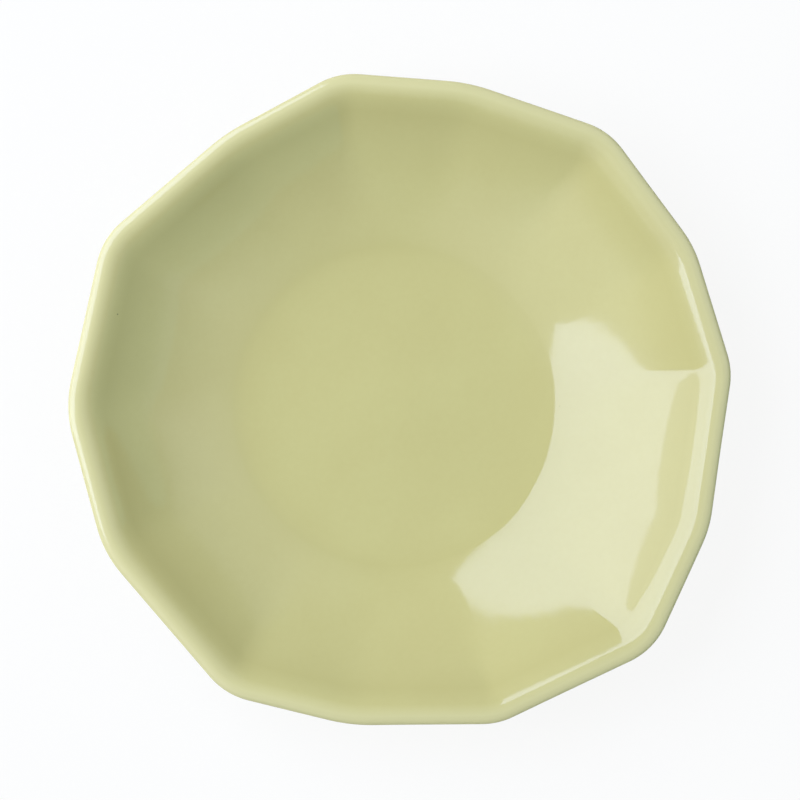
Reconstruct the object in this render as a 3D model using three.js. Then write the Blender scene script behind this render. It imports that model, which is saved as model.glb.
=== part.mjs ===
// Irregular faceted stoneware plate: a fired clay body on a foot ring, the glaze coat fused over its face,
// lip and outside, and the patch of glaze inside the foot ring.
// Millimetres, +Z up. The foot ring stands on z = 0, under the middle of the rim's outline.
import * as THREE from 'three';
import { mergeVertices } from 'three/addons/utils/BufferGeometryUtils.js';

// Rim seen from above, anticlockwise. Each corner is where two sides would meet: a bearing in degrees
// from +X, a reach as a share of the rim's radius, and the radius that softens it
const RIM_RADIUS = 90;
const TIGHT_CORNER = 20;
const SOFT_CORNER = 32;
const WIDE_CORNER = 50;
const RIM_CORNERS = [
  { bearing: 5, reach: 1.01, radius: TIGHT_CORNER },
  { bearing: 27.5, reach: 1.005, radius: SOFT_CORNER },
  { bearing: 52, reach: 1.03, radius: TIGHT_CORNER },
  { bearing: 77.5, reach: 0.98, radius: WIDE_CORNER },
  { bearing: 100.5, reach: 1.005, radius: TIGHT_CORNER },
  { bearing: 123, reach: 0.96, radius: WIDE_CORNER },
  { bearing: 151.5, reach: 1.02, radius: TIGHT_CORNER },
  { bearing: 181.5, reach: 1.01, radius: SOFT_CORNER },
  { bearing: 207.5, reach: 1.005, radius: SOFT_CORNER },
  { bearing: 239.5, reach: 1.035, radius: TIGHT_CORNER },
  { bearing: 261.5, reach: 0.995, radius: WIDE_CORNER },
  { bearing: 287, reach: 1.025, radius: TIGHT_CORNER },
  { bearing: 315.5, reach: 1.08, radius: TIGHT_CORNER },
  { bearing: 337.5, reach: 1.015, radius: SOFT_CORNER },
];

// Well: the round floor that food lies on, a little off the middle, level inside and dished towards its edge
const WELL_CENTRE_X = -1.6;
const WELL_CENTRE_Y = -1.9;
const WELL_RADIUS = 44;
const WELL_DIP = 1.7;
const WELL_FLATNESS = 4; // power of the dishing: a higher one keeps more of the floor level
const FLOOR_THICKNESS = 5;

// Wall: bows up from the well's round edge to the lip, with one soft facet to each side of the rim
const RIM_HEIGHT = 28;
const WALL_THICKNESS = 5.5;
const WALL_START_SLOPE = 13.4; // degrees, at the well's edge
const WALL_BOW = 2.2; // power of the bow: a higher one keeps the steep part nearer to the lip
const FACET_GROWTH = 1.3; // power of the facets' growth: a higher one keeps the wall round for longer

// Lip: rolls over from the wall to a level crown, then turns down to a rounded edge
const LIP_ROLL_WIDTH = 7.5;
const LIP_EDGE_WIDTH = 2.5;
const LIP_EDGE_DROP = 1;
const LIP_EDGE_UNDERCUT = 2.4;
const LIP_THROAT = 2.5;

// Foot ring, and the recess inside it
const FOOT_RADIUS = 50;
const FOOT_WIDTH = 5;
const FOOT_HEIGHT = 3.5;
const FOOT_COVE = 1.5;
const FOOT_BEVEL = 0.6;
const RECESS_DEPTH = 2.2;
const RECESS_COVE = 0.8;

// Glaze: its thickness, and how far up from the ground the foot ring is wiped bare
const GLAZE_THICKNESS = 0.5;
const BARE_HEIGHT = 1;

// Steps that curves are drawn in
const CORNER_STEPS = 3;
const SIDE_STEPS = 2;
const WELL_STEPS = 3;
const WALL_STEPS = 4;
const ROLL_STEPS = 3;
const EDGE_STEPS = 3;
const UNDER_LIP_STEPS = 3;
const UNDERSIDE_STEPS = 2;
const COVE_STEPS = 2;

const wellCentre = new THREE.Vector2(WELL_CENTRE_X, WELL_CENTRE_Y);
const wellFloorHeight = RECESS_DEPTH + FLOOR_THICKNESS;
const wellEdgeHeight = wellFloorHeight + WELL_DIP;
const recessRadius = FOOT_RADIUS - FOOT_WIDTH;
const wallInset = LIP_EDGE_WIDTH + LIP_ROLL_WIDTH;
const wallReach = RIM_RADIUS - wallInset;
const wallRun = wallReach - WELL_RADIUS;

// Fractions from just after 0 up to 1, in equal steps
function fractions(steps) {
  return Array.from({ length: steps }, (_, index) => (index + 1) / steps);
}

// Outward direction of the side that runs from one point to the next, anticlockwise
function outwardOf(from, to) {
  const along = to.clone().sub(from).normalize();
  return new THREE.Vector2(along.y, -along.x);
}

// Where the sides at a corner of the rim would meet
function meetingAt(index) {
  const { bearing, reach } = RIM_CORNERS.at(index % RIM_CORNERS.length);
  const angle = THREE.MathUtils.degToRad(bearing);
  return new THREE.Vector2(Math.cos(angle), Math.sin(angle)).multiplyScalar(RIM_RADIUS * reach);
}

// Points of one softened corner, each with its outward direction
function cornerArc(corner, index) {
  const meeting = meetingAt(index);
  const arriving = outwardOf(meetingAt(index - 1), meeting);
  const leaving = outwardOf(meeting, meetingAt(index + 1));
  const turn = Math.atan2(arriving.cross(leaving), arriving.dot(leaving));
  const middle = arriving.clone().add(leaving).normalize();
  const centre = meeting.addScaledVector(middle, -corner.radius / Math.cos(turn / 2));
  return [0, ...fractions(CORNER_STEPS)].map((share) => {
    const outward = arriving.clone().rotateAround(new THREE.Vector2(), turn * share);
    return { point: centre.clone().addScaledVector(outward, corner.radius), outward };
  });
}

// The whole rim as points with outward directions, its box centred on the origin
function rimOutline() {
  const arcs = RIM_CORNERS.map(cornerArc);
  const outline = arcs.flatMap((arc, index) => {
    const start = arc.at(-1);
    const end = arcs[(index + 1) % arcs.length][0];
    const side = fractions(SIDE_STEPS).slice(0, -1).map((share) => ({
      point: start.point.clone().lerp(end.point, share),
      outward: start.outward.clone(),
    }));
    return [...arc, ...side];
  });
  const box = new THREE.Box2().setFromPoints(outline.map((spot) => spot.point));
  const centre = box.getCenter(new THREE.Vector2());
  outline.forEach((spot) => spot.point.sub(centre));
  return outline;
}

const rim = rimOutline();

// A point over a place on the plan
function raised(place, height) {
  return new THREE.Vector3(place.x, place.y, height);
}

// The place at a radius from the well's centre, on the line towards a spot of the rim
function onCircle(spot, radius) {
  const heading = spot.point.clone().sub(wellCentre).normalize();
  return wellCentre.clone().addScaledVector(heading, radius);
}

// The place that lies square in from a spot of the rim
function insideRim(spot, inset) {
  return spot.point.clone().addScaledVector(spot.outward, -inset);
}

// The largest cove that leaves some upright wall above the bare height
function coveWithin(cove, height) {
  const uprightShare = 0.1;
  return Math.min(cove, (height - BARE_HEIGHT) * (1 - uprightShare));
}

// How far the lip's roll falls from the crown, for unit width and slope: it bends most at the crown
function rollFall(left) {
  return left ** 2 - left ** 3 / 3;
}

// Glazed surface along one line from the well's middle over the lip to the foot ring's bare height
function outsideLine(spot) {
  const line = [];
  for (const share of fractions(WELL_STEPS)) {
    const height = wellFloorHeight + WELL_DIP * share ** WELL_FLATNESS;
    line.push(raised(onCircle(spot, WELL_RADIUS * share), height));
  }

  // The wall starts round, its facet and slope grow, and the lip's roll takes it level at the rim's height
  const facet = insideRim(spot, wallInset).sub(onCircle(spot, wallReach));
  const topRun = onCircle(spot, wallRun).sub(wellCentre).addScaledVector(facet, FACET_GROWTH).length();
  const startRise = wallRun * Math.tan(THREE.MathUtils.degToRad(WALL_START_SLOPE));
  const rollShare = LIP_ROLL_WIDTH * rollFall(1) / topRun;
  const wallRise = RIM_HEIGHT - wellEdgeHeight;
  const bowRise = (wallRise - startRise * (1 + rollShare)) / (1 + WALL_BOW * rollShare);
  const topSlope = (startRise + WALL_BOW * bowRise) / topRun;
  for (const share of fractions(WALL_STEPS)) {
    const place = onCircle(spot, WELL_RADIUS + wallRun * share).addScaledVector(facet, share ** FACET_GROWTH);
    line.push(raised(place, wellEdgeHeight + startRise * share + bowRise * share ** WALL_BOW));
  }
  for (const share of fractions(ROLL_STEPS)) {
    const left = 1 - share;
    const fall = topSlope * LIP_ROLL_WIDTH * rollFall(left);
    line.push(raised(insideRim(spot, LIP_EDGE_WIDTH + LIP_ROLL_WIDTH * left), RIM_HEIGHT - fall));
  }
  for (const share of fractions(EDGE_STEPS)) {
    const angle = share * Math.PI / 2;
    const inset = LIP_EDGE_WIDTH * (1 - Math.sin(angle));
    line.push(raised(insideRim(spot, inset), RIM_HEIGHT - LIP_EDGE_DROP * (1 - Math.cos(angle))));
  }

  // The underside leaves the lip's edge and meets the wall's outer face one wall thickness below its top
  const pitch = Math.atan(topSlope);
  const edgeHeight = RIM_HEIGHT - LIP_EDGE_DROP;
  const underInset = wallInset - WALL_THICKNESS * Math.sin(pitch);
  const wallTopHeight = RIM_HEIGHT - topSlope * LIP_ROLL_WIDTH * rollFall(1);
  const underHeight = wallTopHeight - WALL_THICKNESS * Math.cos(pitch);
  const underLip = new THREE.CubicBezierCurve(
    new THREE.Vector2(0, edgeHeight),
    new THREE.Vector2(0, edgeHeight - LIP_EDGE_UNDERCUT),
    new THREE.Vector2(underInset - LIP_THROAT, underHeight + LIP_THROAT * topSlope),
    new THREE.Vector2(underInset, underHeight),
  );
  for (const share of fractions(UNDER_LIP_STEPS)) {
    const place = underLip.getPoint(share);
    line.push(raised(insideRim(spot, place.x), place.y));
  }

  // The wall's outer face eases towards the foot ring, and a cove turns it down
  const cove = coveWithin(FOOT_COVE, FOOT_HEIGHT);
  const underTop = insideRim(spot, underInset);
  const footTop = onCircle(spot, FOOT_RADIUS + cove);
  const underRun = footTop.distanceTo(underTop);
  const footSlope = 2 * (underHeight - FOOT_HEIGHT) / underRun - topSlope;
  for (const share of fractions(UNDERSIDE_STEPS)) {
    const left = 1 - share;
    const rise = footSlope * left + (topSlope - footSlope) * left ** 2 / 2;
    line.push(raised(underTop.clone().lerp(footTop, share), FOOT_HEIGHT + underRun * rise));
  }
  for (const share of fractions(COVE_STEPS)) {
    const angle = share * Math.PI / 2;
    const radius = FOOT_RADIUS + cove * (1 - Math.sin(angle));
    line.push(raised(onCircle(spot, radius), FOOT_HEIGHT - cove * (1 - Math.cos(angle))));
  }
  line.push(raised(onCircle(spot, FOOT_RADIUS), BARE_HEIGHT));
  return line;
}

// Glazed surface along one line from the recess's middle to the foot ring's bare height
function recessLine(spot) {
  const cove = coveWithin(RECESS_COVE, RECESS_DEPTH);
  const line = [raised(onCircle(spot, recessRadius - cove), RECESS_DEPTH)];
  for (const share of fractions(COVE_STEPS)) {
    const angle = share * Math.PI / 2;
    const radius = recessRadius - cove * (1 - Math.sin(angle));
    line.push(raised(onCircle(spot, radius), RECESS_DEPTH - cove * (1 - Math.cos(angle))));
  }
  line.push(raised(onCircle(spot, recessRadius), BARE_HEIGHT));
  return line;
}

// The same triangles, facing the other way
function turned(triangles) {
  return triangles.map(([first, second, third]) => [first, third, second]);
}

// Triangles between two rings, facing up where the second ring lies outside the first
function band(first, second) {
  return first.flatMap((point, index) => {
    const next = (index + 1) % first.length;
    return [[point, second[index], second[next]], [point, second[next], first[next]]];
  });
}

// A surface that spreads from a middle point over rings, one for each step of the lines, facing up
function skinOver(middle, lines) {
  const rings = lines[0].map((_, step) => lines.map((line) => line[step]));
  return { middle, rings };
}

// Triangles of a skin
function skinTriangles({ middle, rings }) {
  const inner = rings[0];
  const fan = inner.map((point, index) => [middle, point, inner[(index + 1) % inner.length]]);
  return [...fan, ...rings.slice(1).flatMap((ring, index) => band(rings[index], ring))];
}

// Closed surface of shared points, with smooth normals
function surfaceOf(triangles) {
  const geometry = mergeVertices(new THREE.BufferGeometry().setFromPoints(triangles.flat()));
  geometry.computeVertexNormals();
  return geometry;
}

// The skin that lies behind another by a thickness, square to it at every point
function skinBehind(skin, thickness) {
  const points = [skin.middle, ...skin.rings.flat()];
  const places = new Map(points.map((point, index) => [point, index]));
  const geometry = new THREE.BufferGeometry().setFromPoints(points);
  geometry.setIndex(skinTriangles(skin).flat().map((point) => places.get(point)));
  geometry.computeVertexNormals();
  const normals = geometry.getAttribute('normal');
  const behind = points.map((point, index) => (
    point.clone().addScaledVector(new THREE.Vector3().fromBufferAttribute(normals, index), -thickness)
  ));
  const count = skin.rings[0].length;
  const rings = skin.rings.map((_, ring) => behind.slice(1 + ring * count, 1 + (ring + 1) * count));
  return { middle: behind[0], rings };
}

// Glazed faces, and the clay faces that lie under them. The recess faces down, so its clay lies in front
const glazeSkin = skinOver(raised(wellCentre, wellFloorHeight), rim.map(outsideLine));
const claySkin = skinBehind(glazeSkin, GLAZE_THICKNESS);
const recessGlazeSkin = skinOver(raised(wellCentre, RECESS_DEPTH), rim.map(recessLine));
const recessClaySkin = skinBehind(recessGlazeSkin, -GLAZE_THICKNESS);

// A named piece
function piece(name, triangles, material) {
  const mesh = new THREE.Mesh(surfaceOf(triangles), material);
  mesh.name = name;
  return mesh;
}

// Fired clay, with the foot ring's bare face
function stonewareBody() {
  const footOuter = rim.map((spot) => raised(onCircle(spot, FOOT_RADIUS - GLAZE_THICKNESS - FOOT_BEVEL), 0));
  const footInner = rim.map((spot) => raised(onCircle(spot, recessRadius + GLAZE_THICKNESS + FOOT_BEVEL), 0));
  const triangles = [
    ...skinTriangles(claySkin),
    ...band(claySkin.rings.at(-1), footOuter),
    ...band(footOuter, footInner),
    ...band(footInner, recessClaySkin.rings.at(-1)),
    ...turned(skinTriangles(recessClaySkin)),
  ];
  const clay = new THREE.MeshStandardMaterial({ color: 0xd6c8ab, roughness: 0.85, metalness: 0 });
  return piece('stoneware_body', triangles, clay);
}

// Glaze over the well, wall, lip and outside
function glazeCoat() {
  const triangles = [
    ...skinTriangles(glazeSkin),
    ...band(glazeSkin.rings.at(-1), claySkin.rings.at(-1)),
    ...turned(skinTriangles(claySkin)),
  ];
  const glaze = new THREE.MeshStandardMaterial({ color: 0xc9c78f, roughness: 0.12, metalness: 0 });
  return piece('glaze_coat', triangles, glaze);
}

// Glaze inside the foot ring
function recessGlaze() {
  const triangles = [
    ...turned(skinTriangles(recessGlazeSkin)),
    ...turned(band(recessGlazeSkin.rings.at(-1), recessClaySkin.rings.at(-1))),
    ...skinTriangles(recessClaySkin),
  ];
  const glaze = new THREE.MeshStandardMaterial({ color: 0xc4c289, roughness: 0.15, metalness: 0 });
  return piece('recess_glaze', triangles, glaze);
}

const plate = new THREE.Group();
plate.add(stonewareBody(), glazeCoat(), recessGlaze());

export default plate;
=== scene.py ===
"""Irregular faceted stoneware plate: a glazed, hand-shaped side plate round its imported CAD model."""

import logging
import math
from abc import ABC, abstractmethod
from dataclasses import dataclass, field
from enum import Enum
from typing import Any

import bpy
import numpy as np
from mathutils import Matrix, Vector, noise


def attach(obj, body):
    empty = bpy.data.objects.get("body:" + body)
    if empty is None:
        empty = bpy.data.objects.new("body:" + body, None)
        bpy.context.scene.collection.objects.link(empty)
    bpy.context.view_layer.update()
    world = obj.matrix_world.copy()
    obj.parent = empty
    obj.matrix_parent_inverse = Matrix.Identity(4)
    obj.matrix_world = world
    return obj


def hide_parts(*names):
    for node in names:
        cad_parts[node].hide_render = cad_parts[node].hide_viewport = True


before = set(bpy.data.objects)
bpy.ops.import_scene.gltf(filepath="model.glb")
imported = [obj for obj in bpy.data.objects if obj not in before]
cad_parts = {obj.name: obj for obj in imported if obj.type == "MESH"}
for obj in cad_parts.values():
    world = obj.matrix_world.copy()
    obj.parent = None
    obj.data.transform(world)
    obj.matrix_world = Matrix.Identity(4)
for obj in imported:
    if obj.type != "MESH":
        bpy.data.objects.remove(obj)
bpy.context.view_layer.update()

LOG = logging.getLogger("plate")
MM = 0.001  # metres in a millimetre
BODY = "root"
POOLING_AND_SHADE = "pooling_and_shade"  # the mesh attribute that says where glaze gathers or thins, and where painted shade darkens the band under the lip
LAMP_WATTS = 4.0  # for each square metre of a lamp's face, at a radiance of 1


class Slot(Enum):
    """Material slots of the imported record."""

    CLAY = "clay"
    GLAZE = "glaze"


class Corner(Enum):
    """How a corner of the rim is softened: its radius in millimetres."""

    TIGHT = 20.0
    SOFT = 32.0
    WIDE = 50.0


@dataclass(frozen=True)
class RimCorner:
    """Where two sides of the rim would meet: degrees from +X, and a share of the rim's radius."""

    bearing: float
    reach: float
    corner: Corner


RIM_CORNERS = (
    RimCorner(5.0, 1.01, Corner.TIGHT),
    RimCorner(27.5, 1.005, Corner.SOFT),
    RimCorner(52.0, 1.03, Corner.TIGHT),
    RimCorner(77.5, 0.98, Corner.WIDE),
    RimCorner(100.5, 1.005, Corner.TIGHT),
    RimCorner(123.0, 0.96, Corner.WIDE),
    RimCorner(151.5, 1.02, Corner.TIGHT),
    RimCorner(181.5, 1.01, Corner.SOFT),
    RimCorner(207.5, 1.005, Corner.SOFT),
    RimCorner(239.5, 1.035, Corner.TIGHT),
    RimCorner(261.5, 0.995, Corner.WIDE),
    RimCorner(287.0, 1.025, Corner.TIGHT),
    RimCorner(315.5, 1.08, Corner.TIGHT),
    RimCorner(337.5, 1.015, Corner.SOFT),
)


def linear(colour: str) -> tuple[float, float, float, float]:
    """Turns an sRGB hex colour to linear light.

    Args:
        colour: six hex digits after a hash sign.

    Returns:
        Red, green, blue and an alpha of 1.
    """
    levels = (int(colour[place:place + 2], 16) / 255 for place in (1, 3, 5))
    light = [level / 12.92 if level <= 0.04045 else ((level + 0.055) / 1.055) ** 2.4 for level in levels]
    return (*light, 1.0)


def add_node(
    tree: bpy.types.NodeTree,
    kind: str,
    settings: dict[str | int, Any] | None = None,
    links: dict[str | int, bpy.types.NodeSocket] | None = None,
) -> bpy.types.Node:
    """Adds a node with its settings and links.

    Args:
        tree: the node tree that takes it.
        kind: the node's type.
        settings: values by the name of a property, or by the name or number of an input.
        links: sockets by the name or number of the input that they feed.

    Returns:
        The new node.
    """
    node = tree.nodes.new(kind)
    for name, value in (settings or {}).items():
        if isinstance(name, str) and hasattr(node, name):
            setattr(node, name, value)
        else:
            node.inputs[name].default_value = value
    for name, socket in (links or {}).items():
        tree.links.new(socket, node.inputs[name])
    return node


def new_material(name: str) -> tuple[bpy.types.Material, bpy.types.NodeTree]:
    """Makes an empty node material.

    Args:
        name: the material's name.

    Returns:
        The material and its empty node tree.
    """
    material = bpy.data.materials.new(name)
    material.use_nodes = True
    material.node_tree.nodes.clear()
    return material, material.node_tree


def shares(steps: int) -> list[float]:
    """Equal shares from just after 0 up to 1, in so many steps."""
    return [(step + 1) / steps for step in range(steps)]


@dataclass(frozen=True)
class Ring:
    """One closed line round the plate, in millimetres, and how far glaze pools (+) or thins (-) there;
    under the lip the pool is painted shade.
    """

    points: np.ndarray
    pooling_and_shade: float = 0.0


@dataclass(frozen=True)
class Skin:
    """A surface that spreads from a middle point over rings."""

    middle: np.ndarray
    rings: list[Ring]

    def normals(self) -> np.ndarray:
        """Outward directions on the rings.

        Returns:
            One unit vector for each point, by ring and place on it.
        """
        grid = np.array([ring.points for ring in self.rings])
        across = np.gradient(grid, axis=0)
        along = np.roll(grid, -1, axis=1) - np.roll(grid, 1, axis=1)
        square = np.cross(across, along)
        return square / np.linalg.norm(square, axis=2, keepdims=True)

    def behind(self, depth: float) -> "Skin":
        """The skin that lies behind this one.

        Args:
            depth: how far behind, in millimetres.

        Returns:
            The skin moved square to itself.
        """
        normals = self.normals()
        rings = [Ring(ring.points - depth * normals[step]) for step, ring in enumerate(self.rings)]
        lift = math.copysign(depth, depth * normals[0, 0, 2])
        return Skin(self.middle - np.array((0.0, 0.0, lift)), rings)


@dataclass(frozen=True)
class Wall:
    """The wall's section: its facets on the plan, its run, its rises and its slope under the lip."""

    facet: np.ndarray
    run: float
    start_rise: float
    bow_rise: np.ndarray
    top_slope: np.ndarray


@dataclass(frozen=True)
class PoolingAndShade:
    """How melted glaze lies, and where painted shade lies under the lip: a higher power keeps it closer
    to the line where it gathers or thins.
    """

    inside_well_edge: int = 12
    outside_well_edge: int = 8
    # painted shade: the pool below the lip's roll and on its inner side darkens the band under the lip,
    # where shade falls
    painted_shade_below_roll: int = 6
    painted_shade_on_roll: int = 2
    crown: int = 3
    foot_ring: int = 10
    bare_line: float = 0.5  # of a full pool


@dataclass(frozen=True)
class PlateForm:
    """The plate's shape in millimetres, as rings from its middle over the lip and under to the foot."""

    corners: tuple[RimCorner, ...] = RIM_CORNERS
    rim_radius: float = 90.0
    well_centre: tuple[float, float] = (-1.6, -1.9)
    well_radius: float = 44.0
    well_dip: float = 1.7
    well_flatness: float = 4.0
    floor_thickness: float = 5.0
    rim_height: float = 28.0
    wall_thickness: float = 5.5
    wall_start_slope: float = 13.4  # degrees
    wall_bow: float = 2.2
    facet_growth: float = 1.3
    lip_roll_width: float = 7.5
    lip_edge_width: float = 2.5
    lip_edge_drop: float = 1.0
    lip_edge_undercut: float = 2.4
    lip_throat: float = 2.5
    foot_radius: float = 50.0
    foot_width: float = 5.0
    foot_height: float = 3.5
    foot_cove: float = 1.5
    foot_bevel: float = 0.6
    recess_depth: float = 2.2
    recess_cove: float = 0.8
    glaze_thickness: float = 0.5
    bare_height: float = 1.0
    pooling_and_shade: PoolingAndShade = PoolingAndShade()
    corner_steps: int = 10
    side_steps: int = 7
    well_steps: int = 14
    wall_steps: int = 36
    roll_steps: int = 10
    edge_steps: int = 12
    under_lip_steps: int = 12
    underside_steps: int = 14
    cove_steps: int = 6
    rim: np.ndarray = field(init=False)
    outward: np.ndarray = field(init=False)

    def __post_init__(self) -> None:
        """Lays out the rim, its box centred on the origin."""
        points, outward = self.rim_outline()
        middle = (points.min(axis=0) + points.max(axis=0)) / 2
        object.__setattr__(self, "rim", points - middle)
        object.__setattr__(self, "outward", outward)

    def rim_outline(self) -> tuple[np.ndarray, np.ndarray]:
        """Rounds the rim's corners and joins them by straight sides.

        Returns:
            Points anticlockwise round the rim, and the outward direction at each.
        """
        bearings = np.radians([corner.bearing for corner in self.corners])
        reaches = self.rim_radius * np.array([corner.reach for corner in self.corners])
        meetings = reaches[:, None] * np.column_stack((np.cos(bearings), np.sin(bearings)))
        sides = np.roll(meetings, -1, axis=0) - meetings
        facing = np.arctan2(-sides[:, 0], sides[:, 1])
        arcs = []
        for index, corner in enumerate(self.corners):
            turn = (facing[index] - facing[index - 1] + math.pi) % math.tau - math.pi
            middle = facing[index - 1] + turn / 2
            radius = corner.corner.value
            back = radius / math.cos(turn / 2)
            centre = meetings[index] - back * np.array((math.cos(middle), math.sin(middle)))
            angles = facing[index - 1] + turn * np.array([0.0, *shares(self.corner_steps)])
            outward = np.column_stack((np.cos(angles), np.sin(angles)))
            arcs.append((centre + radius * outward, outward))
        points, outwards = [], []
        for index, (arc, outward) in enumerate(arcs):
            following = arcs[(index + 1) % len(arcs)][0][0]
            steps = np.array(shares(self.side_steps)[:-1])[:, None]
            points += [arc, arc[-1] + steps * (following - arc[-1])]
            outwards += [outward, np.tile(outward[-1], (len(steps), 1))]
        return np.vstack(points), np.vstack(outwards)

    def on_circle(self, radius: float) -> np.ndarray:
        """Places at a radius from the well's centre, on the lines towards the rim's points."""
        centre = np.array(self.well_centre)
        heading = self.rim - centre
        return centre + radius * heading / np.linalg.norm(heading, axis=1, keepdims=True)

    def inside_rim(self, inset: np.ndarray | float) -> np.ndarray:
        """Places that lie square in from the rim's points."""
        return self.rim - self.outward * np.reshape(inset, (-1, 1))

    def raised(self, places: np.ndarray, height: np.ndarray | float) -> np.ndarray:
        """Points over places on the plan."""
        return np.column_stack((places, np.broadcast_to(height, len(places))))

    def cove_within(self, cove: float, height: float) -> float:
        """The largest cove that leaves some upright wall above the bare height."""
        upright_share = 0.1
        return min(cove, (height - self.bare_height) * (1 - upright_share))

    def face_rings(self) -> list[Ring]:
        """The well and the wall up to where the lip begins to roll.

        Returns:
            Rings from the well's middle outwards.
        """
        rings = []
        floor = self.recess_depth + self.floor_thickness
        for share in shares(self.well_steps):
            place = self.on_circle(self.well_radius * share)
            height = floor + self.well_dip * share ** self.well_flatness
            rings.append(Ring(self.raised(place, height), share ** self.pooling_and_shade.inside_well_edge))
        wall = self.wall()
        wall_foot = floor + self.well_dip
        for share in shares(self.wall_steps):
            round_place = self.on_circle(self.well_radius + wall.run * share)
            place = round_place + wall.facet * share ** self.facet_growth
            height = wall_foot + wall.start_rise * share + wall.bow_rise * share ** self.wall_bow
            # Near the wall's top the pool is painted shade for the band under the lip.
            pooling_and_shade = (1 - share) ** self.pooling_and_shade.outside_well_edge + share ** self.pooling_and_shade.painted_shade_below_roll
            rings.append(Ring(self.raised(place, height), pooling_and_shade))
        return rings

    def wall(self) -> Wall:
        """The wall's section towards each point of the rim.

        Returns:
            The wall that starts round at the well, and whose facets and slope grow towards the lip.
        """
        inset = self.lip_edge_width + self.lip_roll_width
        round_top = self.on_circle(self.rim_radius - inset)
        facet = self.inside_rim(inset) - round_top
        run = self.rim_radius - inset - self.well_radius
        heading = (round_top - np.array(self.well_centre)) / (self.rim_radius - inset)
        top_run = np.linalg.norm(run * heading + self.facet_growth * facet, axis=1)
        start_rise = run * math.tan(math.radians(self.wall_start_slope))
        roll_share = self.lip_roll_width * self.roll_fall(1.0) / top_run
        rise = self.rim_height - self.recess_depth - self.floor_thickness - self.well_dip
        bow_rise = (rise - start_rise * (1 + roll_share)) / (1 + self.wall_bow * roll_share)
        top_slope = (start_rise + self.wall_bow * bow_rise) / top_run
        return Wall(facet, run, start_rise, bow_rise, top_slope)

    @staticmethod
    def roll_fall(left: float) -> float:
        """How far the lip's roll falls from its crown, for unit width and slope. It bends most there."""
        return left ** 2 - left ** 3 / 3

    def lip_rings(self) -> list[Ring]:
        """The lip: a roll to a level crown, a rounded edge, and the turn under to the outer face.

        Returns:
            Rings from the wall's top outwards and under.
        """
        rings = []
        top_slope = self.wall().top_slope
        for share in shares(self.roll_steps):
            left = 1 - share
            height = self.rim_height - top_slope * self.lip_roll_width * self.roll_fall(left)
            place = self.inside_rim(self.lip_edge_width + self.lip_roll_width * left)
            # The pool on the roll's inner side is painted shade; the crown thins.
            pooling_and_shade = left ** self.pooling_and_shade.painted_shade_on_roll - share ** self.pooling_and_shade.crown
            rings.append(Ring(self.raised(place, height), pooling_and_shade))
        for share in shares(self.edge_steps):
            angle = share * math.pi / 2
            height = self.rim_height - self.lip_edge_drop * (1 - math.cos(angle))
            place = self.inside_rim(self.lip_edge_width * (1 - math.sin(angle)))
            rings.append(Ring(self.raised(place, height), -1.0))
        under_inset, under_height = self.under_lip()
        edge_height = self.rim_height - self.lip_edge_drop
        insets = (0.0, 0.0, under_inset - self.lip_throat, under_inset)
        heights = (
            edge_height,
            edge_height - self.lip_edge_undercut,
            under_height + self.lip_throat * top_slope,
            under_height,
        )
        for share in shares(self.under_lip_steps):
            left = 1 - share
            weights = (left ** 3, 3 * share * left ** 2, 3 * share ** 2 * left, share ** 3)
            inset = sum(weight * value for weight, value in zip(weights, insets))
            height = sum(weight * value for weight, value in zip(weights, heights))
            rings.append(Ring(self.raised(self.inside_rim(inset), height), -left))
        return rings

    def under_lip(self) -> tuple[np.ndarray, np.ndarray]:
        """Where the turn under the lip meets the wall's outer face.

        Returns:
            How far in from the rim, and how high.
        """
        top_slope = self.wall().top_slope
        pitch = np.arctan(top_slope)
        inset = self.lip_edge_width + self.lip_roll_width - self.wall_thickness * np.sin(pitch)
        wall_top = self.rim_height - top_slope * self.lip_roll_width * self.roll_fall(1.0)
        return inset, wall_top - self.wall_thickness * np.cos(pitch)

    def underside_rings(self) -> list[Ring]:
        """The wall's outer face down to the foot ring, the cove there and the glaze's bare line.

        Returns:
            Rings from the lip inwards.
        """
        rings = []
        top_slope = self.wall().top_slope
        under_inset, under_height = self.under_lip()
        cove = self.cove_within(self.foot_cove, self.foot_height)
        top = self.inside_rim(under_inset)
        foot = self.on_circle(self.foot_radius + cove)
        run = np.linalg.norm(foot - top, axis=1)
        foot_slope = 2 * (under_height - self.foot_height) / run - top_slope
        for share in shares(self.underside_steps):
            left = 1 - share
            rise = run * (foot_slope * left + (top_slope - foot_slope) * left ** 2 / 2)
            points = self.raised(top + share * (foot - top), self.foot_height + rise)
            rings.append(Ring(points, share ** self.pooling_and_shade.foot_ring))
        for share in shares(self.cove_steps):
            angle = share * math.pi / 2
            radius = self.foot_radius + cove * (1 - math.sin(angle))
            height = self.foot_height - cove * (1 - math.cos(angle))
            rings.append(Ring(self.raised(self.on_circle(radius), height), 1.0))
        bare_line = self.raised(self.on_circle(self.foot_radius), self.bare_height)
        return [*rings, Ring(bare_line, self.pooling_and_shade.bare_line)]

    def outside(self) -> Skin:
        """The glazed surface from the well's middle over the lip to the foot ring's bare line."""
        middle = np.array((*self.well_centre, self.recess_depth + self.floor_thickness))
        return Skin(middle, self.face_rings() + self.lip_rings() + self.underside_rings())

    def recess(self) -> Skin:
        """The glazed surface inside the foot ring.

        Returns:
            The skin from the recess's middle to its bare line.
        """
        radius = self.foot_radius - self.foot_width
        cove = self.cove_within(self.recess_cove, self.recess_depth)
        rings = [
            Ring(self.raised(self.on_circle((radius - cove) * share), self.recess_depth))
            for share in shares(self.well_steps)
        ]
        for share in shares(self.cove_steps):
            angle = share * math.pi / 2
            height = self.recess_depth - cove * (1 - math.cos(angle))
            place = self.on_circle(radius - cove * (1 - math.sin(angle)))
            rings.append(Ring(self.raised(place, height), share))
        bare_line = self.raised(self.on_circle(radius), self.bare_height)
        rings.append(Ring(bare_line, self.pooling_and_shade.bare_line))
        return Skin(np.array((*self.well_centre, self.recess_depth)), rings)


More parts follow.
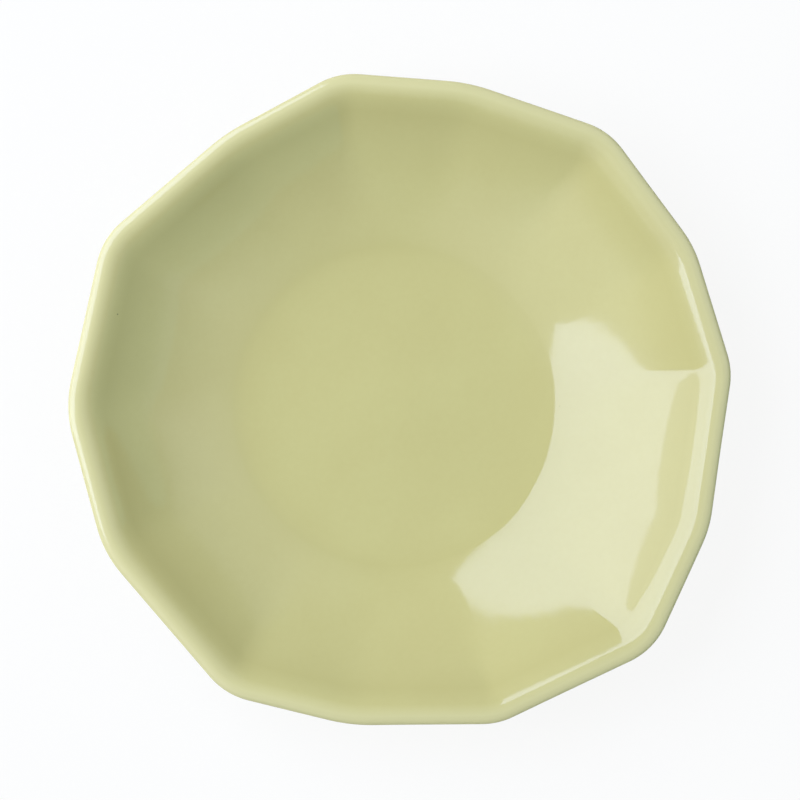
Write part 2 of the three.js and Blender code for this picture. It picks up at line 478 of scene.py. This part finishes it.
@dataclass
class Shell:
    """A closed mesh gathered ring by ring."""

    points: list[np.ndarray] = field(default_factory=list)
    pooling_and_shade: list[float] = field(default_factory=list)
    faces: list[tuple[int, ...]] = field(default_factory=list)

    def add_ring(self, ring: Ring) -> range:
        """Takes in a ring.

        Args:
            ring: the closed line to add.

        Returns:
            The numbers of its points.
        """
        start = len(self.points)
        self.points.extend(ring.points)
        self.pooling_and_shade.extend([ring.pooling_and_shade] * len(ring.points))
        return range(start, len(self.points))

    def add_band(self, first: range, second: range) -> None:
        """Joins two rings by faces that look up where the second ring lies outside the first.

        Args:
            first: the numbers of one ring's points.
            second: the numbers of the other's.
        """
        count = len(first)
        for place in range(count):
            following = (place + 1) % count
            self.faces.append((first[place], second[place], second[following], first[following]))

    def add_skin(self, skin: Skin, turned: bool = False) -> range:
        """Takes in a skin.

        Args:
            skin: the surface to add.
            turned: whether its faces look the other way.

        Returns:
            The numbers of its last ring's points.
        """
        first_face = len(self.faces)
        middle = self.add_ring(Ring(skin.middle[None, :]))[0]
        rings = [self.add_ring(ring) for ring in skin.rings]
        inner = rings[0]
        for place, point in enumerate(inner):
            self.faces.append((middle, point, inner[(place + 1) % len(inner)]))
        for ring, following in zip(rings, rings[1:]):
            self.add_band(ring, following)
        if turned:
            self.faces[first_face:] = [face[::-1] for face in self.faces[first_face:]]
        return rings[-1]

    def make(self, name: str, crease: float) -> bpy.types.Object:
        """Makes the mesh object, in metres.

        Args:
            name: the piece's name.
            crease: the angle in degrees from which an edge stays crisp.

        Returns:
            The new object, in the scene.
        """
        mesh = bpy.data.meshes.new(name)
        mesh.from_pydata([tuple(point * MM) for point in self.points], [], self.faces)
        mesh.validate()
        mesh.attributes.new(POOLING_AND_SHADE, "FLOAT", "POINT").data.foreach_set("value", self.pooling_and_shade)
        mesh.shade_smooth()
        mesh.set_sharp_from_angle(angle=math.radians(crease))
        piece = bpy.data.objects.new(name, mesh)
        bpy.context.scene.collection.objects.link(piece)
        return piece


@dataclass(frozen=True)
class DippedGlaze:
    """Glossy stoneware glaze, dipped and fired.

    It is a glassy opaque layer: clear mirror-like gloss over an even yellow-green, a little paler where
    it thins on the lip, deeper where it pools and in the band under the lip, where that is painted shade,
    softly clouded, with a rare pinhole.
    """

    name: str = "stoneware_glaze_dipped_and_fired"
    even: str = "#DAD192"
    cloud: str = "#D7CD8E"
    thin: str = "#ECE3AC"
    # pooled glaze's colour, also painted shade in the band under the lip
    pooled_and_shade: str = "#D2C888"
    pinhole: str = "#9A9463"
    sheen: str = "#E7E7FF"  # the faint cool cast of its gloss
    ior: float = 1.487
    roughness: tuple[float, float] = (0.05, 0.085)
    gloss_span: tuple[float, float] = (0.3, 0.7)  # of the cloud's noise, from smoothest to roughest
    cloud_size: float = 22.0  # mm, the drift of the dip
    mottle_size: float = 1.6  # mm, drawn coarser than the melt's real half millimetre so that it shows
    mottle_share: float = 0.35  # of the cloud's own strength
    drift_span: tuple[float, float] = (0.45, 0.9)  # of both noises together, from even to clouded
    pooled_and_shade_share: float = 0.6  # of the pooled colour in a full pool; under the lip it is painted shade
    thin_share: float = 0.75  # of the thin colour on the crown
    ripple_size: float = 5.0  # mm, the slow ripple of a melted surface
    ripple_depth: float = 0.012  # mm
    pinhole_spacing: float = 11.0  # mm between places where a bubble may have burst
    pinhole_radius: float = 0.3  # mm
    pinhole_core: float = 0.4  # of that radius, where it is darkest
    pinhole_share: float = 0.12  # of those places

    def material(self) -> bpy.types.Material:
        """Makes the glaze.

        Returns:
            Its node material.
        """
        material, tree = new_material(self.name)
        place = add_node(tree, "ShaderNodeTexCoord").outputs["Object"]
        cloud = add_node(
            tree,
            "ShaderNodeTexNoise",
            {"Scale": 1 / (self.cloud_size * MM), "Detail": 3.0},
            {"Vector": place},
        ).outputs[0]
        pinhole = self.pinholes(tree, place)
        gloss = add_node(
            tree,
            "ShaderNodeMapRange",
            {
                "From Min": self.gloss_span[0],
                "From Max": self.gloss_span[1],
                "To Min": self.roughness[0],
                "To Max": self.roughness[1],
            },
            {"Value": cloud},
        ).outputs[0]
        ripple = add_node(
            tree,
            "ShaderNodeTexNoise",
            {"Scale": 1 / (self.ripple_size * MM), "Detail": 1.0},
            {"Vector": place},
        ).outputs[0]
        height = add_node(
            tree, "ShaderNodeMath", {"operation": "SUBTRACT"}, {0: ripple, 1: pinhole}
        ).outputs[0]
        bump = add_node(
            tree,
            "ShaderNodeBump",
            {"Strength": 1.0, "Distance": self.ripple_depth * MM},
            {"Height": height},
        ).outputs[0]
        surface = add_node(
            tree,
            "ShaderNodeBsdfPrincipled",
            {"IOR": self.ior, "Specular Tint": linear(self.sheen)},
            {
                "Base Color": self.colour(tree, place, cloud, pinhole),
                "Roughness": gloss,
                "Normal": bump,
            },
        ).outputs[0]
        add_node(tree, "ShaderNodeOutputMaterial", {}, {"Surface": surface})
        return material

    def colour(
        self,
        tree: bpy.types.NodeTree,
        place: bpy.types.NodeSocket,
        cloud: bpy.types.NodeSocket,
        pinhole: bpy.types.NodeSocket,
    ) -> bpy.types.NodeSocket:
        """Clouds the even colour, then lays over it the pools with the painted shade under the lip, the
        thin crown and the pinholes.

        Args:
            tree: the glaze's node tree.
            place: the point on the plate.
            cloud: the noise of the dip's drift.
            pinhole: 1 in a pinhole and 0 off it.

        Returns:
            The socket that gives the colour.
        """
        mottle = add_node(
            tree,
            "ShaderNodeTexNoise",
            {"Scale": 1 / (self.mottle_size * MM), "Detail": 2.0},
            {"Vector": place},
        ).outputs[0]
        drift = add_node(
            tree,
            "ShaderNodeMath",
            {"operation": "MULTIPLY_ADD", 1: self.mottle_share},
            {0: mottle, 2: cloud},
        ).outputs[0]
        drift = add_node(
            tree,
            "ShaderNodeMapRange",
            {"From Min": self.drift_span[0], "From Max": self.drift_span[1]},
            {"Value": drift},
        ).outputs[0]
        colour = add_node(
            tree,
            "ShaderNodeMix",
            {"data_type": "RGBA", 6: linear(self.even), 7: linear(self.cloud)},
            {0: drift},
        ).outputs[2]
        pooling_and_shade = add_node(tree, "ShaderNodeAttribute", {"attribute_name": POOLING_AND_SHADE}).outputs["Fac"]
        # deep: pooled glaze, and painted shade in the band under the lip
        deep_and_shade, thinned = (
            add_node(
                tree,
                "ShaderNodeMath",
                {"operation": "MULTIPLY", 1: share, "use_clamp": True},
                {0: pooling_and_shade},
            ).outputs[0]
            for share in (self.pooled_and_shade_share, -self.thin_share)
        )
        for amount, over in ((deep_and_shade, self.pooled_and_shade), (thinned, self.thin), (pinhole, self.pinhole)):
            colour = add_node(
                tree,
                "ShaderNodeMix",
                {"data_type": "RGBA", 7: linear(over)},
                {0: amount, 6: colour},
            ).outputs[2]
        return colour

    def pinholes(self, tree: bpy.types.NodeTree, place: bpy.types.NodeSocket) -> bpy.types.NodeSocket:
        """Scatters the pinholes.

        Args:
            tree: the glaze's node tree.
            place: the point on the plate.

        Returns:
            The socket that is 1 in a pinhole and 0 off it.
        """
        cells = add_node(
            tree,
            "ShaderNodeTexVoronoi",
            {"Scale": 1 / (self.pinhole_spacing * MM)},
            {"Vector": place},
        ).outputs
        radius = self.pinhole_radius / self.pinhole_spacing
        near = add_node(
            tree,
            "ShaderNodeMapRange",
            {"From Min": radius, "From Max": self.pinhole_core * radius},
            {"Value": cells["Distance"]},
        ).outputs[0]
        lot = add_node(tree, "ShaderNodeSeparateColor", {}, {0: cells["Color"]}).outputs[0]
        burst = add_node(
            tree, "ShaderNodeMath", {"operation": "LESS_THAN", 1: self.pinhole_share}, {0: lot}
        ).outputs[0]
        return add_node(
            tree, "ShaderNodeMath", {"operation": "MULTIPLY"}, {0: near, 1: burst}
        ).outputs[0]


@dataclass(frozen=True)
class BareStoneware:
    """Fired buff stoneware, wiped clean of glaze.

    It is matt and dry, pale buff with a sandy grain, and a few dark iron specks.
    """

    name: str = "buff_stoneware_fired_bare"
    buff: str = "#D6C8AB"
    shade: str = "#C7B592"
    iron: str = "#7C6647"
    ior: float = 1.5
    roughness: tuple[float, float] = (0.78, 0.92)
    dryness_span: tuple[float, float] = (0.3, 0.7)  # of the grain's noise, from smoothest to driest
    grain_size: float = 0.7  # mm, drawn coarser than the clay's fine sand so that it shows
    cloud_size: float = 9.0  # mm
    drift_span: tuple[float, float] = (0.12, 0.4)  # of both noises multiplied, from shaded to pale
    grain_depth: float = 0.05  # mm
    speck_spacing: float = 2.4  # mm
    speck_radius: float = 0.22  # mm
    speck_core: float = 0.5  # of that radius, where it is darkest

    def material(self) -> bpy.types.Material:
        """Makes the bare clay.

        Returns:
            Its node material.
        """
        material, tree = new_material(self.name)
        place = add_node(tree, "ShaderNodeTexCoord").outputs["Object"]
        grain = add_node(
            tree,
            "ShaderNodeTexNoise",
            {"Scale": 1 / (self.grain_size * MM), "Detail": 4.0},
            {"Vector": place},
        ).outputs[0]
        dryness = add_node(
            tree,
            "ShaderNodeMapRange",
            {
                "From Min": self.dryness_span[0],
                "From Max": self.dryness_span[1],
                "To Min": self.roughness[0],
                "To Max": self.roughness[1],
            },
            {"Value": grain},
        ).outputs[0]
        bump = add_node(
            tree,
            "ShaderNodeBump",
            {"Strength": 1.0, "Distance": self.grain_depth * MM},
            {"Height": grain},
        ).outputs[0]
        surface = add_node(
            tree,
            "ShaderNodeBsdfPrincipled",
            {"IOR": self.ior},
            {"Base Color": self.colour(tree, place, grain), "Roughness": dryness, "Normal": bump},
        ).outputs[0]
        add_node(tree, "ShaderNodeOutputMaterial", {}, {"Surface": surface})
        return material

    def colour(
        self,
        tree: bpy.types.NodeTree,
        place: bpy.types.NodeSocket,
        grain: bpy.types.NodeSocket,
    ) -> bpy.types.NodeSocket:
        """Clouds the buff with its grain, and scatters the iron specks over it.

        Args:
            tree: the clay's node tree.
            place: the point on the plate.
            grain: the noise of the clay's sand.

        Returns:
            The socket that gives the colour.
        """
        cloud = add_node(
            tree,
            "ShaderNodeTexNoise",
            {"Scale": 1 / (self.cloud_size * MM), "Detail": 2.0},
            {"Vector": place},
        ).outputs[0]
        drift = add_node(
            tree, "ShaderNodeMath", {"operation": "MULTIPLY"}, {0: grain, 1: cloud}
        ).outputs[0]
        drift = add_node(
            tree,
            "ShaderNodeMapRange",
            {"From Min": self.drift_span[0], "From Max": self.drift_span[1]},
            {"Value": drift},
        ).outputs[0]
        colour = add_node(
            tree,
            "ShaderNodeMix",
            {"data_type": "RGBA", 6: linear(self.shade), 7: linear(self.buff)},
            {0: drift},
        ).outputs[2]
        cells = add_node(
            tree, "ShaderNodeTexVoronoi", {"Scale": 1 / (self.speck_spacing * MM)}, {"Vector": place}
        ).outputs
        radius = self.speck_radius / self.speck_spacing
        speck = add_node(
            tree,
            "ShaderNodeMapRange",
            {"From Min": radius, "From Max": self.speck_core * radius},
            {"Value": cells["Distance"]},
        ).outputs[0]
        return add_node(
            tree,
            "ShaderNodeMix",
            {"data_type": "RGBA", 7: linear(self.iron)},
            {0: speck, 6: colour},
        ).outputs[2]


@dataclass(frozen=True)
class HandWaver:
    """The slow waver that a hand-shaped mould leaves in the glaze: always inwards, so no size grows."""

    depth: float = 0.22  # mm
    size: float = 30.0  # mm from one hollow to the next
    seed: float = 4.0
    fade_rings: int = 4  # from its middle and from its bare line to the full depth

    def over(self, skin: Skin) -> Skin:
        """Lays the waver over a skin.

        Args:
            skin: the even surface.

        Returns:
            The surface with the waver, still at its bare line and in its middle.
        """
        normals = skin.normals()
        last = len(skin.rings) - 1
        start = Vector((self.seed,) * 3)
        rings = []
        for step, ring in enumerate(skin.rings):
            fade = min(1.0, step / self.fade_rings, (last - step) / self.fade_rings)
            waves = [noise.noise(Vector(point / self.size) + start) for point in ring.points]
            dents = self.depth * fade * (1 + np.array(waves)) / 2
            rings.append(Ring(ring.points - dents[:, None] * normals[step], ring.pooling_and_shade))
        return Skin(skin.middle, rings)


@dataclass(kw_only=True)
class PlatePiece(ABC):
    """A piece of the plate, which stands for one CAD node."""

    form: PlateForm
    finish: bpy.types.Material
    name: str
    node: str
    slot: Slot
    crease: float  # degrees from which an edge stays crisp

    @abstractmethod
    def shell(self) -> Shell:
        """Gathers the piece's closed mesh."""

    def build(self) -> bpy.types.Object:
        """Makes the piece's mesh object, in the scene."""
        return self.shell().make(self.name, self.crease)

    def dress(self, piece: bpy.types.Object) -> None:
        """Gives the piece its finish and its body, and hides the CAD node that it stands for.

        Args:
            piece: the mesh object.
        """
        piece.data.materials.append(self.finish)
        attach(piece, BODY)
        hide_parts(self.node)


@dataclass(kw_only=True)
class StonewareBody(PlatePiece):
    """The fired clay plate, bare on the foot ring."""

    name: str = "fired_clay_body"
    node: str = "stoneware_body"
    slot: Slot = Slot.CLAY
    crease: float = 35.0

    def shell(self) -> Shell:
        """Joins the clay under the glaze by the foot ring's bare face.

        Returns:
            The closed mesh.
        """
        form = self.form
        shell = Shell()
        outside = shell.add_skin(form.outside().behind(form.glaze_thickness))
        wiped = form.glaze_thickness + form.foot_bevel
        outer_radius = form.foot_radius - wiped
        foot_outer = shell.add_ring(Ring(form.raised(form.on_circle(outer_radius), 0.0)))
        inner_radius = form.foot_radius - form.foot_width + wiped
        foot_inner = shell.add_ring(Ring(form.raised(form.on_circle(inner_radius), 0.0)))
        recess = shell.add_skin(form.recess().behind(-form.glaze_thickness), turned=True)
        shell.add_band(outside, foot_outer)
        shell.add_band(foot_outer, foot_inner)
        shell.add_band(foot_inner, recess)
        return shell


@dataclass(kw_only=True)
class GlazeCoat(PlatePiece):
    """The glaze fused over the plate's face, lip and outside."""

    waver: HandWaver = HandWaver()
    name: str = "face_and_outside_glaze"
    node: str = "glaze_coat"
    slot: Slot = Slot.GLAZE
    crease: float = 50.0

    def shell(self) -> Shell:
        """Lays the wavering face over the clay and closes it at the bare line.

        Returns:
            The closed mesh.
        """
        even = self.form.outside()
        shell = Shell()
        outside = shell.add_skin(self.waver.over(even))
        inside = shell.add_skin(even.behind(self.form.glaze_thickness), turned=True)
        shell.add_band(outside, inside)
        return shell


@dataclass(kw_only=True)
class RecessGlaze(PlatePiece):
    """The glaze inside the foot ring."""

    name: str = "foot_recess_glaze"
    node: str = "recess_glaze"
    slot: Slot = Slot.GLAZE
    crease: float = 50.0

    def shell(self) -> Shell:
        """Lays the patch under the clay and closes it at the bare line.

        Returns:
            The closed mesh.
        """
        face = self.form.recess()
        shell = Shell()
        front = shell.add_skin(face, turned=True)
        back = shell.add_skin(face.behind(-self.form.glaze_thickness))
        shell.add_band(back, front)
        return shell


@dataclass(frozen=True)
class PaperSweep:
    """White seamless studio paper under the plate: even white, with the plate's soft shadow kept."""

    name: str = "white_paper_sweep"
    paper: str = "#F2F2F0"
    span: float = 8.0  # m
    lit_share: float = 0.9  # of the paper's white that no shadow reaches

    def build(self) -> bpy.types.Object:
        """Lays the paper.

        Returns:
            The floor.
        """
        half = self.span / 2
        corners = [(-half, -half, 0), (half, -half, 0), (half, half, 0), (-half, half, 0)]
        mesh = bpy.data.meshes.new(self.name)
        mesh.from_pydata(corners, [], [(0, 1, 2, 3)])
        floor = bpy.data.objects.new(self.name, mesh)
        bpy.context.scene.collection.objects.link(floor)
        mesh.materials.append(self.material())
        return floor

    def material(self) -> bpy.types.Material:
        """Makes the paper.

        Returns:
            Its node material.
        """
        material, tree = new_material(self.name)
        path = add_node(tree, "ShaderNodeLightPath").outputs
        seen = path["Is Camera Ray"]
        for ray in (path["Is Glossy Ray"], path["Is Transmission Ray"]):
            seen = add_node(
                tree, "ShaderNodeMath", {"operation": "MAXIMUM"}, {0: seen, 1: ray}
            ).outputs[0]
        share = add_node(
            tree, "ShaderNodeMath", {"operation": "MULTIPLY", 1: self.lit_share}, {0: seen}
        ).outputs[0]
        matt = add_node(tree, "ShaderNodeBsdfDiffuse", {"Color": linear(self.paper)}).outputs[0]
        white = add_node(tree, "ShaderNodeEmission", {"Strength": 1.0}).outputs[0]
        surface = add_node(tree, "ShaderNodeMixShader", {}, {0: share, 1: matt, 2: white}).outputs[0]
        add_node(tree, "ShaderNodeOutputMaterial", {}, {"Surface": surface})
        return material


@dataclass(frozen=True)
class Softbox:
    """A soft studio lamp with a rectangular diffuser.

    Places are in metres. Facing is the way that it looks: degrees round from +X, and degrees below level.
    Radiance is that of its face, where a fully lit white surface is 1.
    """

    name: str
    place: tuple[float, float, float]
    height: float
    radiance: float
    width: float = 0.938
    facing: tuple[float, float] = (-18.6, 20.0)
    roll: float = -4.3  # degrees
    tint: str = "#E6F0FF"

    def build(self) -> bpy.types.Object:
        """Hangs the lamp.

        Returns:
            The light object.
        """
        light = bpy.data.lights.new(self.name, "AREA")
        light.shape = "RECTANGLE"
        light.size = self.width
        light.size_y = self.height
        light.color = linear(self.tint)[:3]
        light.energy = LAMP_WATTS * self.width * self.height * self.radiance
        lamp = bpy.data.objects.new(self.name, light)
        bearing, fall = (math.radians(angle) for angle in self.facing)
        turned = Matrix.Rotation(bearing - math.pi / 2, 4, "Z")
        tipped = Matrix.Rotation(math.pi / 2 - fall, 4, "X")
        rolled = Matrix.Rotation(math.radians(self.roll), 4, "Z")
        lamp.matrix_world = Matrix.Translation(self.place) @ turned @ tipped @ rolled
        bpy.context.scene.collection.objects.link(lamp)
        return lamp


@dataclass(frozen=True)
class PalePatch:
    """A soft pale patch of the ceiling. Its angles are in degrees, and its fall is from straight up."""

    bearing: float
    light: float
    fall: float = 38.0
    core: float = 8.0
    reach: float = 30.0

    def towards(self) -> Vector:
        """The way from the plate to the patch's middle."""
        bearing, fall = math.radians(self.bearing), math.radians(self.fall)
        level = math.sin(fall)
        return Vector((level * math.cos(bearing), level * math.sin(bearing), math.cos(fall)))


@dataclass(frozen=True)
class StudioRoom:
    """The room round the plate: dim walls, and over them a ceiling that is pale away from the lamps."""

    name: str = "studio_room"
    tint: str = "#FBFBFF"
    wall_light: float = 0.05
    ceiling_edge: tuple[float, float] = (0.53, 0.62)  # how upright a look is where the ceiling begins
    patches: tuple[PalePatch, ...] = (
        PalePatch(34.0, 0.67),
        PalePatch(218.0, 0.9),
        PalePatch(306.0, 0.27),
        PalePatch(350.0, 0.5),
    )

    def build(self) -> bpy.types.World:
        """Makes the world.

        Returns:
            The scene's new world.
        """
        world = bpy.data.worlds.new(self.name)
        world.use_nodes = True
        tree = world.node_tree
        tree.nodes.clear()
        sight = add_node(tree, "ShaderNodeTexCoord").outputs["Generated"]
        upright = add_node(tree, "ShaderNodeSeparateXYZ", {}, {0: sight}).outputs[2]
        ceiling = add_node(
            tree,
            "ShaderNodeMapRange",
            {"From Min": self.ceiling_edge[0], "From Max": self.ceiling_edge[1]},
            {"Value": upright},
        ).outputs[0]
        strength = add_node(
            tree,
            "ShaderNodeMath",
            {"operation": "MULTIPLY_ADD", 1: -self.wall_light, 2: self.wall_light},
            {0: ceiling},
        ).outputs[0]
        for patch in self.patches:
            nearness = add_node(
                tree, "ShaderNodeVectorMath", {"operation": "DOT_PRODUCT", 1: patch.towards()}, {0: sight}
            ).outputs["Value"]
            glow = add_node(
                tree,
                "ShaderNodeMapRange",
                {
                    "interpolation_type": "SMOOTHSTEP",
                    "From Min": math.cos(math.radians(patch.reach)),
                    "From Max": math.cos(math.radians(patch.core)),
                    "To Max": patch.light,
                },
                {"Value": nearness},
            ).outputs[0]
            strength = add_node(
                tree, "ShaderNodeMath", {"operation": "MULTIPLY_ADD"}, {0: glow, 1: ceiling, 2: strength}
            ).outputs[0]
        light = add_node(
            tree, "ShaderNodeBackground", {"Color": linear(self.tint)}, {"Strength": strength}
        ).outputs[0]
        add_node(tree, "ShaderNodeOutputWorld", {}, {"Surface": light})
        bpy.context.scene.world = world
        return world


@dataclass(frozen=True)
class OverheadCamera:
    """A camera straight above the plate, with +Y up in the picture."""

    name: str = "overhead_camera"
    distance: float = 1.2  # m above the rim's widest line
    rim_level: float = 0.027  # m
    picture_width: float = 0.2172  # m that the picture takes in at the rim's level
    middle: tuple[float, float] = (0.00014, -0.00014)  # m
    sensor: float = 36.0  # mm

    def build(self) -> bpy.types.Object:
        """Sets the camera.

        Returns:
            The camera object, which is the scene's own.
        """
        lens = bpy.data.cameras.new(self.name)
        lens.sensor_width = self.sensor
        lens.lens = self.sensor * self.distance / self.picture_width
        camera = bpy.data.objects.new(self.name, lens)
        camera.location = (*self.middle, self.rim_level + self.distance)
        bpy.context.scene.collection.objects.link(camera)
        bpy.context.scene.camera = camera
        return camera


LAMPS = (
    Softbox("key_softbox", place=(-0.486, 0.236, 0.85), height=0.735, radiance=4.09),
    Softbox("softbox_skirt", place=(-0.637, 0.287, 0.411), height=0.2, radiance=1.4),
    Softbox("low_strip", place=(-0.702, 0.309, 0.223), height=0.2, radiance=1.4),
    Softbox(
        "cool_card",
        place=(0.901, -0.42, 0.671),
        height=0.42,
        radiance=0.46,
        width=1.68,
        facing=(155.0, 34.0),
        roll=0.0,
        tint="#9FFFED",
    ),
)


def main() -> None:
    """Builds the plate, its floor, the light and the camera, and reports each piece."""
    logging.basicConfig(level=logging.INFO, format="%(name)s: %(message)s")
    bpy.context.scene.view_settings.view_transform = "Standard"
    OverheadCamera().build()
    form = PlateForm()
    clay = BareStoneware().material()
    glaze = DippedGlaze().material()
    parts = (
        StonewareBody(form=form, finish=clay),
        GlazeCoat(form=form, finish=glaze),
        RecessGlaze(form=form, finish=glaze),
    )
    for part in parts:
        piece = part.build()
        part.dress(piece)
        LOG.info("%s: %d faces for %s", piece.name, len(piece.data.polygons), part.node)
    PaperSweep().build()
    StudioRoom().build()
    for lamp in LAMPS:
        lamp.build()


if __name__ == "__main__":
    main()
